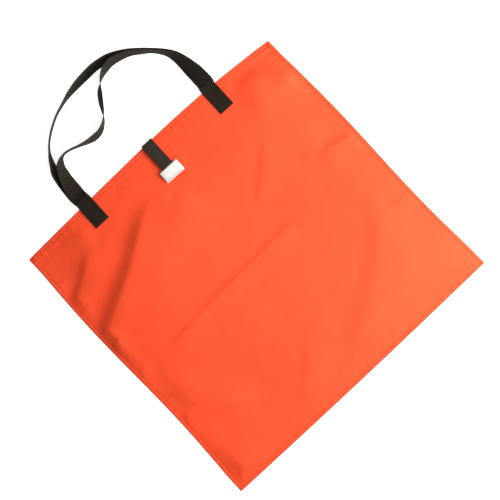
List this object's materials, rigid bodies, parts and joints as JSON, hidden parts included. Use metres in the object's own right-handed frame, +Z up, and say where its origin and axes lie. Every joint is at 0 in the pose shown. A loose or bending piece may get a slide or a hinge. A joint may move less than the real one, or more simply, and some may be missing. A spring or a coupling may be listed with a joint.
{
  "type": "sandbag",
  "caption": "Flat, empty fabric carry bag for studio ballast, with two webbing handles, an open hemmed mouth and a hook-and-loop closure tab.",
  "frame": {"origin": "on the underside of the back panel, under the middle of the bag, which is the face it lies on", "axes": "+X along the mouth edge, +Y from the bottom seam towards the mouth and the handles, +Z up from the back panel to the front panel"},
  "size_m": [0.631, 0.7884, 0.0322],
  "materials": {
    "pack_cloth": "coated woven nylon, soft sheen",
    "pack_cloth_inside": "coated woven nylon, matt inside",
    "handle_webbing": "matt woven webbing",
    "tab_webbing": "matt brushed tape",
    "hook_and_loop": "matt hook-and-loop tape",
    "label_cloth": "smooth woven label",
    "orange_thread": "satin thread",
    "black_thread": "satin thread",
    "white_thread": "satin thread"
  },
  "bodies": {
    "bag": {"back_panel": "pack_cloth", "front_panel": "pack_cloth", "left_seam_allowance": "pack_cloth_inside", "right_seam_allowance": "pack_cloth_inside", "bottom_seam_allowance": "pack_cloth_inside", "front_hem": "pack_cloth_inside", "back_hem": "pack_cloth_inside", "left_seam_stitching": "orange_thread", "right_seam_stitching": "orange_thread", "bottom_seam_stitching": "orange_thread", "front_hem_stitching": "orange_thread", "back_hem_stitching": "orange_thread", "left_bar_tack": "orange_thread", "right_bar_tack": "orange_thread", "front_handle_end_left": "handle_webbing", "front_handle_end_right": "handle_webbing", "back_handle_end_left": "handle_webbing", "back_handle_end_right": "handle_webbing", "front_handle_stitching_left": "black_thread", "front_handle_stitching_right": "black_thread", "back_handle_stitching_left": "black_thread", "back_handle_stitching_right": "black_thread", "closure_tab_base": "tab_webbing", "closure_tab_base_stitching": "black_thread", "loop_patch": "hook_and_loop", "loop_patch_stitching": "black_thread"},
    "front_handle": {"front_handle_loop": "handle_webbing"},
    "back_handle": {"back_handle_loop": "handle_webbing"},
    "closure_tab": {"closure_tab_flap": "tab_webbing", "hook_patch": "hook_and_loop", "label": "label_cloth", "label_stitching": "white_thread"}
  },
  "joints": [
    {"name": "front_handle_swing", "type": "hinge", "parent": "bag", "child": "front_handle", "pos_m": [0, 0.2975, 0.01545], "axis": [1, 0, 0], "range_deg": [0, 160]},
    {"name": "back_handle_swing", "type": "hinge", "parent": "bag", "child": "back_handle", "pos_m": [0, 0.2975, 0.00065], "axis": [1, 0, 0], "range_deg": [-160, 0]},
    {"name": "closure_tab_fold", "type": "hinge", "parent": "bag", "child": "closure_tab", "pos_m": [0, 0.3042, 0.01025], "axis": [-1, 0, 0], "range_deg": [0, 180]}
  ]
}
